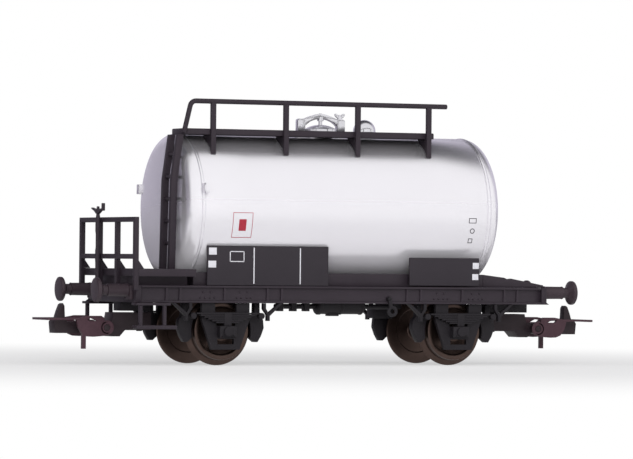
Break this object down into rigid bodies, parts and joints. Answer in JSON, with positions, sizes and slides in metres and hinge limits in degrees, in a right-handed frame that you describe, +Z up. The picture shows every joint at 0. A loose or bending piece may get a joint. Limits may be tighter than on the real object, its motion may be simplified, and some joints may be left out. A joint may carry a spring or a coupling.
{
  "type": "model railway tank car",
  "caption": "Model railway tank car: a silver tank on a dark frame, with walkway, ladder, brake platform, turning wheelsets and swinging loop couplers.",
  "frame": {"origin": "on the floor under the middle of the car, at the height of the wheel flanges' lowest point", "axes": "+X along the car away from the brakeman's platform, +Y across towards the side with no walkway, +Z up"},
  "size_m": [0.1154, 0.031, 0.051],
  "materials": {
    "tank_paint": "semi-gloss silver paint",
    "fittings_clear": "glossy silver plastic",
    "frame_plastic": "matt brown-black moulded plastic",
    "sign_black": "satin black print on plastic",
    "buffer_plastic": "matt brown-black moulded plastic",
    "coupler_plastic": "matt black moulded plastic",
    "wheel_metal": "turned and browned metal"
  },
  "bodies": {
    "wagon": {"axle_guard_left_far": "frame_plastic", "axle_guard_left_near": "frame_plastic", "axle_guard_right_far": "frame_plastic", "axle_guard_right_near": "frame_plastic", "brake_blocks_left_inner": "frame_plastic", "brake_blocks_left_outer": "frame_plastic", "brake_blocks_right_inner": "frame_plastic", "brake_blocks_right_outer": "frame_plastic", "brake_crank": "frame_plastic", "brake_cylinder": "frame_plastic", "buffer_left_far": "buffer_plastic", "buffer_left_near": "buffer_plastic", "buffer_right_far": "buffer_plastic", "buffer_right_near": "buffer_plastic", "coupler_mount_left": "frame_plastic", "coupler_mount_right": "frame_plastic", "end_stay_far": "frame_plastic", "end_stay_near": "frame_plastic", "floor_plate": "frame_plastic", "footstep": "frame_plastic", "footstep_far": "frame_plastic", "handrail": "frame_plastic", "headstock_left": "frame_plastic", "headstock_right": "frame_plastic", "ladder": "frame_plastic", "leaf_spring_left_far": "frame_plastic", "leaf_spring_left_near": "frame_plastic", "leaf_spring_right_far": "frame_plastic", "leaf_spring_right_near": "frame_plastic", "lid_yoke": "fittings_clear", "manhole_lid": "fittings_clear", "manhole_neck": "fittings_clear", "platform_deck": "frame_plastic", "platform_railing": "frame_plastic", "ring_lever": "frame_plastic", "sign_board_left_far": "sign_black", "sign_board_left_near": "sign_black", "sign_board_right_far": "sign_black", "sign_board_right_near": "sign_black", "solebar_far": "frame_plastic", "solebar_near": "frame_plastic", "spring_hangers_left_far": "frame_plastic", "spring_hangers_left_near": "frame_plastic", "spring_hangers_right_far": "frame_plastic", "spring_hangers_right_near": "frame_plastic", "tank_cradle": "frame_plastic", "tank_shell": "tank_paint", "valve_dome": "fittings_clear", "walkway": "frame_plastic"},
    "wheelset_left": {"axle_left": "wheel_metal", "wheel_left_far": "wheel_metal", "wheel_left_near": "wheel_metal"},
    "wheelset_right": {"axle_right": "wheel_metal", "wheel_right_far": "wheel_metal", "wheel_right_near": "wheel_metal"},
    "coupler_left": {"coupler_shank_left": "coupler_plastic"},
    "coupler_right": {"coupler_shank_right": "coupler_plastic"},
    "bow_left": {"coupler_bow_left": "coupler_plastic"},
    "bow_right": {"coupler_bow_right": "coupler_plastic"}
  },
  "joints": [
    {"name": "wheelset_left_turn", "type": "hinge", "parent": "wagon", "child": "wheelset_left", "pos_m": [-0.0245, 0, 0.0066], "axis": [0, 1, 0], "continuous": true},
    {"name": "wheelset_right_turn", "type": "hinge", "parent": "wagon", "child": "wheelset_right", "pos_m": [0.0245, 0, 0.0066], "axis": [0, 1, 0], "continuous": true},
    {"name": "coupler_left_swing", "type": "hinge", "parent": "wagon", "child": "coupler_left", "pos_m": [-0.0375, 0, 0.008], "axis": [0, 0, 1], "range_deg": [-8, 8]},
    {"name": "coupler_right_swing", "type": "hinge", "parent": "wagon", "child": "coupler_right", "pos_m": [0.0375, 0, 0.008], "axis": [0, 0, 1], "range_deg": [-8, 8]},
    {"name": "bow_left_lift", "type": "hinge", "parent": "coupler_left", "child": "bow_left", "pos_m": [-0.0457, 0, 0.0071], "axis": [0, 1, 0], "range_deg": [0, 22]},
    {"name": "bow_right_lift", "type": "hinge", "parent": "coupler_right", "child": "bow_right", "pos_m": [0.0457, 0, 0.0071], "axis": [0, -1, 0], "range_deg": [0, 22]}
  ]
}
